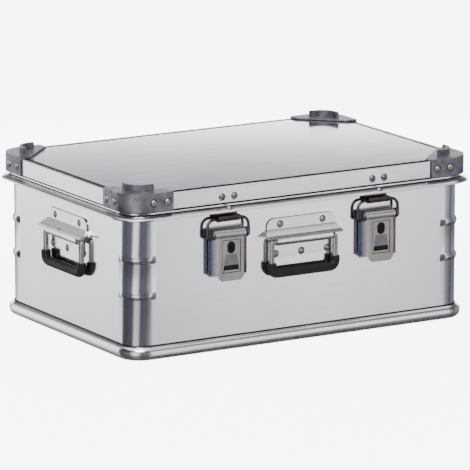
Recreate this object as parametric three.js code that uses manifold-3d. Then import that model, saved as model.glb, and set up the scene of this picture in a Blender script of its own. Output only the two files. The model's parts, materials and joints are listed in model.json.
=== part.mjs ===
// Aluminium transport case with a hinged lid, stacking corners, two toggle latches and three drop handles.
// Millimetres, +Z up, +X along the length, the latches on the -Y side.
// Origin: centre of the footprint, on the floor.
import * as THREE from 'three';
import { mergeVertices } from 'three/addons/utils/BufferGeometryUtils.js';
import Module from 'manifold-3d';

const wasm = await Module();
wasm.setup();

// ---- Driving dimensions ----
const RIM_LENGTH = 590; // over the lid skirt
const RIM_WIDTH = 406; // over the lid skirt
const CASE_HEIGHT = 239.5; // floor to the top of the lid frame
const RIM_OVERHANG = 18; // lid skirt beyond the wall
const WALL_RADIUS = 27; // outside radius of the upright corners
const SHEET = 1.5; // wall, floor and lid sheets
const CLEARANCE = 0.3; // between pieces that touch
const ARC_STEPS = 6; // facets in a quarter turn of a ring
const BEND_STEPS = 5; // facets in a bend of a bar

const HALF_LENGTH = RIM_LENGTH / 2 - RIM_OVERHANG; // to the outside of the end walls
const HALF_WIDTH = RIM_WIDTH / 2 - RIM_OVERHANG; // to the outside of the long walls

// Base frame: a half-round bumper with a ledge that carries the walls and the floor
const BASE_HEIGHT = 19.5;
const BASE_BULGE = 8.5;
const BASE_FOOT = 3; // width of the foot inside the wall line
const LEDGE_REACH = 16;
const LEDGE_THICKNESS = 2.1;
const RECESS_DEPTH = 9.6; // hollow under the floor that takes the lugs of the case below
const LEDGE_TOP = RECESS_DEPTH + LEDGE_THICKNESS;
const FLOOR_BOTTOM = LEDGE_TOP + CLEARANCE;

// Lid frame heights, all measured down from the top of the lid
const WALL_TO_TOP = 27.5;
const SKIRT_TO_TOP = 36;
const FACE_OUT = 9; // outer face of the lid frame beyond the wall
const FACE_WALL = 2.4;
const FACE_TO_TOP = 23.5; // lower edge of the flat face
const RIM_CAP = 4; // the body rim stands this much above the wall sheet
const RIM_GRIP = 6; // the rim's legs reach this far down the wall sheet
const PANEL_SEAT = 2.3;
const PANEL_DROP = 0.5; // top of the lid panel below the frame's top edge
const PANEL_LAND = 1.8; // frame under the lid panel's edge
const PANEL_REACH = 2.7; // the panel's seat runs this far beyond the wall line
const GASKET_SEAT = 18.5;
const GASKET_LAND = 2.2; // thickness of the frame over the gasket
const GASKET_IN = 8; // inner edge of the seats from the wall line
const GASKET_OUT = 1.5; // outer edge of the gasket's seat
const RIM_CAP_WALL = 1.7;
const LEAF_GAP = 0.4; // hook and hinge sheets to the body rim
const LEAF_SHEET = 1.5; // hook and hinge sheets that rise inside the lid frame
// Those sheets' bends, measured down from the top of the lid
const LEAF_TOP_DROP = 8.5;
const LEAF_KNEE_DROP = 20.2;
const LEAF_TOE_DROP = 23.5;
const LEAF_TURN_DROP = 32.5;
const LEAF_OVERLAP = 0.75; // the turned-out part starts this far above its bend
const GROOVE_WALL = 2;
const GROOVE_TOP_DROP = 24.3;
const GROOVE_FOOT_DROP = 28.5;
const SKIRT_WALL = 1.8;
const SKIRT_START_DROP = 29.3;
const SKIRT_NECK = 0.4; // the skirt starts this much behind the face
const SKIRT_KNEE_OUT = RIM_OVERHANG - 1.4; // where the skirt's slope ends
const SKIRT_KNEE_DROP = 32.5;
const SKIRT_EDGE_DROP = 33.9; // where the upright edge starts
const SKIRT_SLOPE = Math.atan2(SKIRT_KNEE_DROP - SKIRT_START_DROP, SKIRT_KNEE_OUT - FACE_OUT + SKIRT_NECK);
const WALL_TOP = CASE_HEIGHT - WALL_TO_TOP;
const SKIRT_BOTTOM = CASE_HEIGHT - SKIRT_TO_TOP;

// Pressed beads round each upright corner
const BEAD_HEIGHTS = [92, 144];
const BEAD_HEIGHT = 13;
const BEAD_DEPTH = 2.6;
const BEAD_RUNOUT = 11; // past the corner, along the straight wall
const FLAT_MARGIN = 1; // flat sheet between a bead's end and the long facets of the wall

// Corner castings
const CASTING_ARM = 79; // from the skirt corner to the end of an arm
const CASTING_WALL = 2.7;
const CASTING_PLATE = 2.2; // thickness over the lid
const CASTING_STRIP = 22; // width of the plate at an arm's end
const CASTING_DEPTH = 24.5; // outer wall below the top of the lid frame
const LUG_RADIUS = 27;
const LUG_WALL = 4;
const LUG_HEIGHT = RECESS_DEPTH - 2 * CLEARANCE;
const LUG_CENTRE = 51.1; // from both skirt edges
const LUG_HALF_ANGLE = 59.8;

// Toggle latches
const LATCH_SPACING = 251;
const LATCH_WIDTH = 58; // over the lever's side walls
const LATCH_FACE_WIDTH = 41;
const LATCH_DEPTH = 18; // wall to the lever's face
const LATCH_BEVEL = 6.5;
const LATCH_SHEET = 1.5;
const LATCH_AXLE_DROP = 32.5; // axle below the skirt
const LATCH_AXLE_OUT = 9.8;
const LATCH_ROLL_RADIUS = 7.4;
const CHEEK_GAP = 1.5; // the base's cheeks to the lever's side walls
const CHEEK_EAR_RADIUS = 4.2;
const BASE_INSET = 2; // base plate from the lever's outline
const BASE_RISE = 10; // base plate above the axle
const LATCH_AXLE_RADIUS = 2;
const LEVER_LENGTH = 67; // axle to the tip of the lip
const LEVER_BODY_LENGTH = 59; // axle to the lower end of the side walls
const LEVER_FACE_DROP = 4; // face starts this much below the axle
const LEVER_BACK_OUT = 2.6; // side walls start this far from the case
const LEVER_LIP_CHAMFER = 5;
const PANEL_RECESS = 0.6; // pressed into the lever's face
const PANEL_BORDER = 3.5; // left standing round it
const PANEL_HALF = 15.5;
const TONGUE_RECESS = 1;
const TONGUE_HALF_TOP = 9;
const TONGUE_HALF_FOOT = 12.5;
const TONGUE_HEIGHT = 19;
const SLOT_HEIGHT = 5; // under the tongue
const SLOT_RISE = 7.5; // above the lever's lower end
const CROSS_PIN_RISE = 6; // above the lever's lower end
const CROSS_PIN_OUT = 8;
const PIN_PROUD = 0.6; // pin ends beyond the side walls
const BAIL_RADIUS = 2.25;
const LEVER_CAP = 0.8; // end caps proud of the lever's side walls
const BAIL_SIDE_GAP = 1.7; // bail to the end caps
const BAIL_PIVOT_IN = 0.5; // bail pivot from the axle, towards the wall
const BAIL_PIVOT_DROP = 5.5; // bail pivot below the axle
const BAIL_BAR_OUT = 7.6;
const BAIL_BAR_DROP = 11; // bail bar below the skirt
const BAIL_CORNER = 11;
const BAIL_TRAVEL = 1.8; // room that the bar needs in the hook as the lever swings
const HOOK_WIDTH = 36;
const HOOK_LIP_RISE = 4.5; // lip above the bail bar's centre
const LOCK_DROP = 18.6; // lock centre below the axle
const LOCK_WIDTH = 13;
const LOCK_HEIGHT = 17.6;
const PLUG_RADIUS = 4.6;
const BEZEL_DEPTH = 2.6;
const BEZEL_SUNK = 0.4; // below the lever's face
const PLUG_SUNK = 0.6;
const PLUG_LENGTH = 5.4;
const CAM_OUT = 8.2; // wall to the cam's near side
const CAM_THICKNESS = 1.5;
const CAM_REACH = 8.5; // from the plug's axis
const CAM_HALF = 2.4;
const STEM_RADIUS = 2;
const KEY_SLOT_HALF = 3.2;
const KEY_SLOT_WIDTH = 1.2;
const KEEPER_WIDTH = 10;
const KEEPER_OUT = 12; // wall to the front of the keeper's hook
const KEEPER_SHEET = 1.6;
const KEEPER_HEIGHT = 6;
const KEEPER_BELOW_PLUG = 1;
const RIVET_HEAD_RADIUS = 4.3;
const RIVET_HEAD_HEIGHT = 2.4;
const RIVET_SHANK_RADIUS = 2;
const CATCH_RIVET_PITCH = 20;
const CATCH_RIVET_DROP = 15; // frame rivets below the top of the lid
const CATCH_RIVET_GRIP = 4.6;
const RIVET_TAIL = 1; // shop head's height
const RIVET_TAIL_SPREAD = 0.8; // shop head beyond the shank
const DRILL_DEPTH = 6;
const TAB_OUT = 14.4; // the hook's tab, under the skirt rivet
const TAB_DROP = 35;
const SKIRT_RIVET_OUT = 12.9; // on the slope of the skirt

// Drop handles
const HANDLE_TOP_DROP = 21.5; // top of the bracket below the skirt
const HANDLE_WIRE_RADIUS = 4;
const HANDLE_GRIP_WALL = 3;
const HANDLE_GRIP_RADIUS = HANDLE_WIRE_RADIUS + HANDLE_GRIP_WALL;
const GRIP_TO_WALL = 1.2;
const HANDLE_SPAN = 106; // between the arm centrelines
const HANDLE_AXIS_OUT = HANDLE_GRIP_RADIUS + GRIP_TO_WALL;
const HANDLE_AXIS_DROP = 32; // knuckle centre below the bracket's top
const HANDLE_REACH = 46.5; // knuckle centre to the grip's centreline
const HANDLE_CORNER = 9;
const HANDLE_END_BEND = 5;
const HANDLE_PIN_LENGTH = 26; // what the turned-in ends reach into the knuckle
const GRIP_START = 31.5; // top of the grip below the knuckle's centre
const BRACKET_RIDGE_WIDTH = 125;
const BRACKET_FLANGE_WIDTH = 115;
const BRACKET_KNUCKLE_WIDTH = 92;
const BRACKET_FLANGE_RADIUS = 12;
const BRACKET_HEIGHT = 57;
const BRACKET_SHEET = 2;
const KNUCKLE_WALL = 2.2;
const KNUCKLE_RADIUS = HANDLE_WIRE_RADIUS + KNUCKLE_WALL;
const SPRING_WIRE_RADIUS = 0.7;
const SPRING_RADIUS = HANDLE_WIRE_RADIUS - SPRING_WIRE_RADIUS;
const SPRING_TURNS = 6;
const SPRING_STEPS = 8; // stations in a turn
const SPRING_GAP = 1; // spring to the handle's ends

// Hinges
const HINGE_SPACING = 320;
const HINGE_WIDTH = 60;
const HINGE_SHEET = 2; // body leaf
const HINGE_HEEL = 6.3; // reach of the heel that stops the lid
const HINGE_HEEL_HALF = 1.2;
const LID_OPENING = 100; // degrees, where the heel lands on the body leaf
const HINGE_OUT = 11.5; // pin beyond the rear wall
const HINGE_DROP = 5; // pin below the skirt's edge
const HINGE_KNUCKLE_RADIUS = 3.8;
const HINGE_PIN_RADIUS = 2;
const HINGE_LEAF_LENGTH = 44; // pin to the body leaf's lower end
const HINGE_MIDDLE = 20; // length of the lid's knuckle
const HINGE_LEAF_DROP = 34.2; // outer edge of the lid's leaf below the top of the lid

// ---- Tools ----
const degrees = Math.PI / 180;
const group = new THREE.Group();

function materialOf(color, roughness, metalness) {
  return new THREE.MeshStandardMaterial({ color, roughness, metalness });
}

function addMesh(parent, name, geometry, color, roughness, metalness) {
  const mesh = new THREE.Mesh(geometry, materialOf(color, roughness, metalness));
  mesh.name = name;
  parent.add(mesh);
  return mesh;
}

// A frame on the outside of a wall: x along the wall, -y outwards, z up.
function wallGroup(along, turn, distance) {
  const pivot = new THREE.Group();
  pivot.rotation.z = turn * degrees;
  const wall = new THREE.Group();
  wall.position.set(along, -distance, 0);
  pivot.add(wall);
  group.add(pivot);
  return wall;
}

function toSolid(geometry) {
  const bare = geometry.clone();
  bare.deleteAttribute('normal');
  bare.deleteAttribute('uv');
  const merged = mergeVertices(bare, 1e-4);
  return new wasm.Manifold(new wasm.Mesh({
    numProp: 3,
    vertProperties: new Float32Array(merged.attributes.position.array),
    triVerts: new Uint32Array(merged.index.array),
  }));
}

function toGeometry(solid) {
  const mesh = solid.getMesh();
  const geometry = new THREE.BufferGeometry();
  geometry.setAttribute('position', new THREE.BufferAttribute(mesh.vertProperties, 3));
  geometry.setIndex(new THREE.BufferAttribute(mesh.triVerts, 1));
  return geometry;
}

function join(...geometries) {
  return toGeometry(geometries.map(toSolid).reduce((sum, next) => sum.add(next)));
}

function cut(geometry, ...tools) {
  return toGeometry(tools.map(toSolid).reduce((rest, tool) => rest.subtract(tool), toSolid(geometry)));
}

function box(x0, x1, out0, out1, z0, z1) {
  const geometry = new THREE.BoxGeometry(x1 - x0, out1 - out0, z1 - z0);
  return geometry.translate((x0 + x1) / 2, -(out0 + out1) / 2, (z0 + z1) / 2);
}

// A bar along x, centred at (out, z).
function barAlongWall(radius, x0, x1, out, z, sides = 16) {
  const geometry = new THREE.CylinderGeometry(radius, radius, x1 - x0, sides);
  geometry.rotateZ(90 * degrees);
  return geometry.translate((x0 + x1) / 2, -out, z);
}

// A bar that stands out of the wall at (x, z).
function barOutwards(radius, out0, out1, x, z, sides = 16) {
  const geometry = new THREE.CylinderGeometry(radius, radius, out1 - out0, sides);
  return geometry.translate(x, -(out0 + out1) / 2, z);
}

function shapeOf(points) {
  return new THREE.Shape(points.map(([a, b]) => new THREE.Vector2(a, b)));
}

function extrude(shape, depth, curveSegments = 6) {
  return new THREE.ExtrudeGeometry(shape, { depth, bevelEnabled: false, curveSegments });
}

// A section given as (out, z), run along the wall from x0 to x1.
function sectionAlongWall(points, x0, x1) {
  const geometry = extrude(shapeOf(points), x1 - x0);
  const turn = new THREE.Matrix4().makeBasis(
    new THREE.Vector3(0, -1, 0), new THREE.Vector3(0, 0, 1), new THREE.Vector3(-1, 0, 0));
  return geometry.applyMatrix4(turn).translate(x1, 0, 0);
}

// A shape given as (x, z), standing out of the wall from out0 to out1.
function plateOnWall(shape, out0, out1) {
  const geometry = extrude(shape, out1 - out0);
  const turn = new THREE.Matrix4().makeBasis(
    new THREE.Vector3(1, 0, 0), new THREE.Vector3(0, 0, 1), new THREE.Vector3(0, -1, 0));
  return geometry.applyMatrix4(turn).translate(0, -out0, 0);
}

function arcPoints(a, b, radiusA, radiusB, from, to, steps) {
  const points = [];
  for (let i = 0; i <= steps; i += 1) {
    const angle = (from + ((to - from) * i) / steps) * degrees;
    points.push([a + radiusA * Math.cos(angle), b + radiusB * Math.sin(angle)]);
  }
  return points;
}

function roundedRectangle(halfA, halfB, radius, centreB = 0) {
  const shape = new THREE.Shape();
  shape.moveTo(halfA, centreB - halfB + radius);
  shape.lineTo(halfA, centreB + halfB - radius);
  shape.absarc(halfA - radius, centreB + halfB - radius, radius, 0, Math.PI / 2, false);
  shape.lineTo(-halfA + radius, centreB + halfB);
  shape.absarc(-halfA + radius, centreB + halfB - radius, radius, Math.PI / 2, Math.PI, false);
  shape.lineTo(-halfA, centreB - halfB + radius);
  shape.absarc(-halfA + radius, centreB - halfB + radius, radius, Math.PI, Math.PI * 1.5, false);
  shape.lineTo(halfA - radius, centreB - halfB);
  shape.absarc(halfA - radius, centreB - halfB + radius, radius, Math.PI * 1.5, Math.PI * 2, false);
  return shape;
}

// Stations round the wall line, anticlockwise from above; "past" is how far a station lies past its corner.
function ringStations(runouts) {
  const stations = [];
  const corners = [[1, 1, 0], [-1, 1, 90], [-1, -1, 180], [1, -1, 270]];
  for (const [signX, signY, start] of corners) {
    const centreX = signX * (HALF_LENGTH - WALL_RADIUS);
    const centreY = signY * (HALF_WIDTH - WALL_RADIUS);
    const place = (angle, past) => {
      const nx = Math.cos(angle * degrees);
      const ny = Math.sin(angle * degrees);
      return {
        x: centreX + WALL_RADIUS * nx - past * ny,
        y: centreY + WALL_RADIUS * ny + past * nx,
        nx,
        ny,
        past: Math.abs(past),
      };
    };
    for (const runout of [...runouts].reverse()) stations.push(place(start, -runout));
    for (let i = 0; i <= ARC_STEPS; i += 1) stations.push(place(start + (90 * i) / ARC_STEPS, 0));
    for (const runout of runouts) stations.push(place(start + 90, runout));
  }
  return stations;
}

// A section given as (out from the wall line, z), carried round the whole case.
function ring(sectionAt, runouts = []) {
  const stations = ringStations(runouts);
  const count = sectionAt(stations[0]).length;
  const positions = [];
  for (const station of stations) {
    const section = sectionAt(station);
    if (THREE.ShapeUtils.area(section.map(([a, b]) => new THREE.Vector2(a, b))) < 0) section.reverse();
    for (const [out, z] of section) {
      positions.push(station.x + out * station.nx, station.y + out * station.ny, z);
    }
  }
  const index = [];
  for (let i = 0; i < stations.length; i += 1) {
    const here = i * count;
    const next = ((i + 1) % stations.length) * count;
    for (let j = 0; j < count; j += 1) {
      const k = (j + 1) % count;
      index.push(here + j, next + j, next + k, here + j, next + k, here + k);
    }
  }
  const geometry = new THREE.BufferGeometry();
  geometry.setAttribute('position', new THREE.Float32BufferAttribute(positions, 3));
  geometry.setIndex(index);
  return geometry;
}

// A curve that is only ever read at its stations, so that bends are cut exactly where they start and end.
class StationCurve extends THREE.Curve {
  constructor(points, tangents) {
    super();
    this.points = points;
    this.tangents = tangents;
  }

  getPoint(t) {
    return this.points[Math.round(t * (this.points.length - 1))].clone();
  }

  getPointAt(t) {
    return this.getPoint(t);
  }

  getTangentAt(t) {
    return this.tangents[Math.round(t * (this.points.length - 1))].clone();
  }
}

// A round bar along straight runs joined by bends of the given radii.
function bentBar(corners, bends, radius, sides) {
  const points = [corners[0]];
  const tangents = [corners[1].clone().sub(corners[0]).normalize()];
  bends.forEach((bend, i) => {
    const corner = corners[i + 1];
    const before = corner.clone().sub(corners[i]).normalize();
    const after = corners[i + 2].clone().sub(corner).normalize();
    const turn = before.angleTo(after);
    const start = corner.clone().addScaledVector(before, -bend * Math.tan(turn / 2));
    const inward = after.clone().addScaledVector(before, -before.dot(after)).normalize();
    for (let k = 0; k <= BEND_STEPS; k += 1) {
      const angle = (turn * k) / BEND_STEPS;
      points.push(start.clone().addScaledVector(before, bend * Math.sin(angle))
        .addScaledVector(inward, bend * (1 - Math.cos(angle))));
      tangents.push(before.clone().multiplyScalar(Math.cos(angle)).addScaledVector(inward, Math.sin(angle)));
    }
  });
  points.push(corners[corners.length - 1]);
  tangents.push(tangents[tangents.length - 1].clone());
  const disc = shapeOf(arcPoints(0, 0, radius, radius, 0, 360 * (1 - 1 / sides), sides - 1));
  const extrudePath = new StationCurve(points, tangents);
  return new THREE.ExtrudeGeometry(disc, { steps: points.length - 1, bevelEnabled: false, extrudePath });
}

// The outline of a sheet of even thickness bent along a centreline given as (out, z).
function sheetOutline(path, thickness) {
  const left = [];
  const right = [];
  path.forEach(([a, b], i) => {
    const before = path[Math.max(i - 1, 0)];
    const after = path[Math.min(i + 1, path.length - 1)];
    const here = i === 0 ? after : [a, b];
    const from = i === 0 ? [a, b] : before;
    const d1 = new THREE.Vector2(here[0] - from[0], here[1] - from[1]).normalize();
    const d2 = i === path.length - 1 ? d1 : new THREE.Vector2(after[0] - a, after[1] - b).normalize();
    const normal = new THREE.Vector2(-d1.y - d2.y, d1.x + d2.x).normalize();
    const reach = thickness / 2 / Math.max(normal.dot(new THREE.Vector2(-d1.y, d1.x)), 0.3);
    left.push([a + normal.x * reach, b + normal.y * reach]);
    right.push([a - normal.x * reach, b - normal.y * reach]);
  });
  return [...left, ...right.reverse()];
}

// A rivet with its head's seat at (out, z), tilted up from straight out of the wall.
// Its shop head is behind the grip.
function rivet(x, out, z, tilt, grip) {
  const shop = RIVET_SHANK_RADIUS + RIVET_TAIL_SPREAD;
  const tail = -grip - RIVET_TAIL;
  const profile = [
    [0, tail], [shop, tail], [shop, -grip], [RIVET_SHANK_RADIUS, -grip], [RIVET_SHANK_RADIUS, 0],
    ...arcPoints(0, 0, RIVET_HEAD_RADIUS, RIVET_HEAD_HEIGHT, 0, 72, 4), [0, RIVET_HEAD_HEIGHT],
  ];
  const geometry = new THREE.LatheGeometry(profile.map(([r, h]) => new THREE.Vector2(r, h)), 12);
  geometry.translate(0, CLEARANCE, 0).rotateX((180 - tilt) * degrees);
  return geometry.translate(x, -out, z);
}

// The drill for that rivet.
function rivetHole(x, out, z, tilt, depth) {
  const geometry = new THREE.CylinderGeometry(RIVET_SHANK_RADIUS + CLEARANCE, RIVET_SHANK_RADIUS + CLEARANCE,
    depth + 1, 12);
  geometry.translate(0, (1 - depth) / 2, 0).rotateX((180 - tilt) * degrees);
  return geometry.translate(x, -out, z);
}

// ---- Body ----
function bodyShell() {
  const beadSection = (offset, scale) => BEAD_HEIGHTS.flatMap((centre) => [
    [offset, centre - BEAD_HEIGHT / 2],
    [offset + 0.75 * BEAD_DEPTH * scale, centre - BEAD_HEIGHT / 4],
    [offset + BEAD_DEPTH * scale, centre],
    [offset + 0.75 * BEAD_DEPTH * scale, centre + BEAD_HEIGHT / 4],
    [offset, centre + BEAD_HEIGHT / 2],
  ]);
  return ring((station) => {
    const scale = Math.cos((Math.min(station.past / BEAD_RUNOUT, 1) * Math.PI) / 2);
    const outside = [[0, FLOOR_BOTTOM], ...beadSection(0, scale), [0, WALL_TOP]];
    const inside = [[-SHEET, FLOOR_BOTTOM], ...beadSection(-SHEET, scale), [-SHEET, WALL_TOP]];
    return [...outside, ...inside.reverse()];
  }, [BEAD_RUNOUT / 2, BEAD_RUNOUT, BEAD_RUNOUT + FLAT_MARGIN]);
}

function bottomPanel() {
  const inset = SHEET + CLEARANCE;
  const shape = roundedRectangle(HALF_LENGTH - inset, HALF_WIDTH - inset, WALL_RADIUS - inset);
  return extrude(shape, SHEET).translate(0, 0, FLOOR_BOTTOM);
}

function baseFrame() {
  const bumper = arcPoints(CLEARANCE, BASE_HEIGHT / 2, BASE_BULGE - CLEARANCE, BASE_HEIGHT / 2, -90, 90, 8);
  return ring(() => [
    [-LEDGE_REACH, RECESS_DEPTH], [-BASE_FOOT, RECESS_DEPTH], [-BASE_FOOT, 0], ...bumper,
    [CLEARANCE, LEDGE_TOP], [-LEDGE_REACH, LEDGE_TOP],
  ]);
}

function bodyRim() {
  const inner = -SHEET - CLEARANCE;
  const outer = CLEARANCE + RIM_CAP_WALL;
  const top = WALL_TOP + RIM_CAP;
  const foot = WALL_TOP - RIM_GRIP;
  const web = WALL_TOP + CLEARANCE;
  return ring(() => [
    [CLEARANCE, foot], [outer, foot], [outer, top], [inner - RIM_CAP_WALL, top],
    [inner - RIM_CAP_WALL, foot], [inner, foot], [inner, web], [CLEARANCE, web],
  ]);
}

// ---- Lid ----
const skirtRivetRise = (SKIRT_KNEE_OUT - SKIRT_RIVET_OUT) * Math.tan(SKIRT_SLOPE);
const skirtRivetZ = CASE_HEIGHT - SKIRT_KNEE_DROP + skirtRivetRise;
const skirtTilt = 90 - SKIRT_SLOPE / degrees;
// Along the wall from the latch's centre, out, z, tilt, grip
const catchRivets = [
  [-CATCH_RIVET_PITCH / 2, FACE_OUT, CASE_HEIGHT - CATCH_RIVET_DROP, 0, CATCH_RIVET_GRIP],
  [CATCH_RIVET_PITCH / 2, FACE_OUT, CASE_HEIGHT - CATCH_RIVET_DROP, 0, CATCH_RIVET_GRIP],
  [0, SKIRT_RIVET_OUT, skirtRivetZ, skirtTilt, CATCH_RIVET_GRIP],
];

function lidFrame() {
  const top = CASE_HEIGHT;
  const faceIn = FACE_OUT - FACE_WALL;
  const gasketTop = top - GASKET_SEAT;
  const grooveIn = leafOut + LEAF_SHEET / 2 + CLEARANCE;
  const grooveOut = grooveIn + GROOVE_WALL;
  const skirtIn = RIM_OVERHANG - SKIRT_WALL;
  const landIn = GASKET_LAND - GASKET_IN;
  const seat = top - PANEL_SEAT;
  const underSeat = seat - PANEL_LAND;
  const section = [
    [FACE_OUT, top - 1], [FACE_OUT, top - FACE_TO_TOP], [grooveOut, top - GROOVE_TOP_DROP],
    [grooveOut, top - GROOVE_FOOT_DROP], [FACE_OUT - SKIRT_NECK, top - SKIRT_START_DROP],
    [SKIRT_KNEE_OUT, top - SKIRT_KNEE_DROP], [RIM_OVERHANG, top - SKIRT_EDGE_DROP],
    [RIM_OVERHANG, SKIRT_BOTTOM], [skirtIn, SKIRT_BOTTOM], [skirtIn, top - SKIRT_EDGE_DROP - 0.6],
    [FACE_OUT - 1, top - SKIRT_START_DROP - 2], [grooveIn, top - SKIRT_START_DROP - 1],
    [grooveIn, top - GROOVE_TOP_DROP + 0.2], [faceIn, top - FACE_TO_TOP + 1],
    [faceIn, underSeat], [landIn, underSeat], [landIn, gasketTop + GASKET_LAND],
    [GASKET_OUT, gasketTop + GASKET_LAND], [GASKET_OUT, gasketTop], [-GASKET_IN, gasketTop],
    [-GASKET_IN, seat], [PANEL_REACH, seat], [PANEL_REACH, top],
    [FACE_OUT - 1, top],
  ];
  const holes = [-1, 1].flatMap((side) => catchRivets.map(([step, out, z, tilt]) => {
    const hole = rivetHole(step + (side * LATCH_SPACING) / 2, out, z, tilt, DRILL_DEPTH);
    return hole.translate(0, -HALF_WIDTH, 0);
  }));
  return cut(ring(() => section), ...holes);
}

function lidGasket() {
  const top = CASE_HEIGHT - GASKET_SEAT - CLEARANCE;
  const bottom = WALL_TOP + RIM_CAP + CLEARANCE;
  return ring(() => [[-7, top], [-4, bottom], [0.2, bottom], [1, top]]);
}

function lidPanel() {
  const reach = PANEL_REACH - CLEARANCE;
  const shape = roundedRectangle(HALF_LENGTH + reach, HALF_WIDTH + reach, WALL_RADIUS + reach);
  return extrude(shape, SHEET).translate(0, 0, CASE_HEIGHT - PANEL_DROP - SHEET);
}

// Built round the centre of the -X -Y corner and turned onto the others.
function cornerCasting() {
  const skirt = WALL_RADIUS + RIM_OVERHANG;
  const inner = WALL_RADIUS + FACE_OUT + CLEARANCE;
  const outer = inner + CASTING_WALL;
  const end = CASTING_ARM - skirt;
  const strip = CASTING_STRIP - skirt;
  const outerArc = arcPoints(0, 0, outer, outer, 180, 270, 10);
  const innerArc = arcPoints(0, 0, inner, inner, 270, 180, 10);
  const angle = shapeOf([
    [-outer, end], ...outerArc, [end, -outer], [end, -inner], ...innerArc, [-inner, end],
  ]);
  const wall = extrude(angle, CASTING_DEPTH + CLEARANCE + CASTING_PLATE);
  wall.translate(0, 0, CASE_HEIGHT - CASTING_DEPTH);
  const outline = shapeOf([[-outer, end], ...outerArc, [end, -outer], [end, strip], [strip, end]]);
  const plate = extrude(outline, CASTING_PLATE);
  plate.translate(0, 0, CASE_HEIGHT + CLEARANCE);
  const centre = LUG_CENTRE - skirt;
  const from = 225 - LUG_HALF_ANGLE;
  const to = 225 + LUG_HALF_ANGLE;
  const lug = extrude(shapeOf([
    ...arcPoints(centre, centre, LUG_RADIUS, LUG_RADIUS, from, to, 10),
    ...arcPoints(centre, centre, LUG_RADIUS - LUG_WALL, LUG_RADIUS - LUG_WALL, to, from, 10),
  ]), LUG_HEIGHT + CASTING_PLATE);
  lug.translate(0, 0, CASE_HEIGHT + CLEARANCE);
  return join(wall, plate, lug);
}

// ---- Latches, in a frame on the front wall ----
const latchAxleZ = SKIRT_BOTTOM - LATCH_AXLE_DROP;
const bailPivotOut = LATCH_AXLE_OUT - BAIL_PIVOT_IN;
const bailPivotZ = latchAxleZ - BAIL_PIVOT_DROP;
const bailBarZ = SKIRT_BOTTOM - BAIL_BAR_DROP;
const lockZ = latchAxleZ - LOCK_DROP;
const crossPinZ = latchAxleZ - LEVER_BODY_LENGTH + CROSS_PIN_RISE;
const cheekHalf = LATCH_WIDTH / 2 - LATCH_SHEET - CHEEK_GAP; // outside of the base's cheeks

// The sheet that rises inside the lid frame, from a foot behind the groove.
const leafOut = CLEARANCE + RIM_CAP_WALL + LEAF_GAP + LEAF_SHEET / 2;
const leafTopOut = FACE_OUT - FACE_WALL - CLEARANCE - LEAF_SHEET / 2;
const leafRise = [
  [leafTopOut, CASE_HEIGHT - LEAF_TOP_DROP], [leafTopOut, CASE_HEIGHT - LEAF_KNEE_DROP],
  [leafOut, CASE_HEIGHT - LEAF_TOE_DROP],
];
const leafTurn = [FACE_OUT - 1, CASE_HEIGHT - LEAF_TURN_DROP];

function catchHook() {
  const half = HOOK_WIDTH / 2;
  const lip = BAIL_BAR_OUT + BAIL_RADIUS + BAIL_TRAVEL + LEAF_SHEET / 2;
  const curl = (lip - leafOut) / 2;
  const centreZ = bailBarZ - BAIL_RADIUS - CLEARANCE - LEAF_SHEET / 2 + curl;
  const trough = arcPoints(leafOut + curl, centreZ, curl, curl, 180, 360, 8);
  const hookPath = [...leafRise, ...trough, [lip, bailBarZ + HOOK_LIP_RISE]];
  const hook = sectionAlongWall(sheetOutline(hookPath, LEAF_SHEET), -half, half);
  const tabPath = [[leafOut, leafTurn[1] + LEAF_OVERLAP], leafTurn, [TAB_OUT, CASE_HEIGHT - TAB_DROP]];
  const tab = sectionAlongWall(sheetOutline(tabPath, LEAF_SHEET), -half, half);
  const holes = catchRivets.map(([step, out, z, tilt]) => rivetHole(step, out, z, tilt, DRILL_DEPTH));
  return cut(join(hook, tab), ...holes);
}

function latchBase() {
  const top = latchAxleZ + BASE_RISE;
  const foot = latchAxleZ - LEVER_BODY_LENGTH + BASE_INSET;
  const plateHalf = LATCH_WIDTH / 2 - BASE_INSET;
  const plate = box(-plateHalf, plateHalf, CLEARANCE, CLEARANCE + LATCH_SHEET, foot, top);
  const cheekSection = [
    [CLEARANCE, latchAxleZ - 9], [LATCH_AXLE_OUT - 4, latchAxleZ - 4.5],
    ...arcPoints(LATCH_AXLE_OUT, latchAxleZ, CHEEK_EAR_RADIUS, CHEEK_EAR_RADIUS, -60, 110, 8),
    [CLEARANCE, latchAxleZ + 9],
  ];
  const cheeks = [-1, 1].map((side) => {
    const middle = side * (cheekHalf - LATCH_SHEET / 2);
    return sectionAlongWall(cheekSection, middle - LATCH_SHEET / 2, middle + LATCH_SHEET / 2);
  });
  const barrelHalf = cheekHalf - LATCH_SHEET / 2;
  const insideHalf = cheekHalf - LATCH_SHEET;
  const insideRadius = LATCH_ROLL_RADIUS - LATCH_SHEET;
  const barrel = barAlongWall(LATCH_ROLL_RADIUS, -barrelHalf, barrelHalf, LATCH_AXLE_OUT, latchAxleZ, 20);
  const inside = barAlongWall(insideRadius, -insideHalf, insideHalf, LATCH_AXLE_OUT, latchAxleZ, 20);
  const webOut = LATCH_AXLE_OUT - LATCH_ROLL_RADIUS + 1;
  const web = box(-barrelHalf, barrelHalf, CLEARANCE, webOut, latchAxleZ - 3, latchAxleZ + 3);
  const boreRadius = LATCH_AXLE_RADIUS + CLEARANCE;
  const bore = barAlongWall(boreRadius, -LATCH_WIDTH, LATCH_WIDTH, LATCH_AXLE_OUT, latchAxleZ);
  return cut(join(plate, ...cheeks, cut(join(barrel, web), inside)), bore);
}

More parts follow.
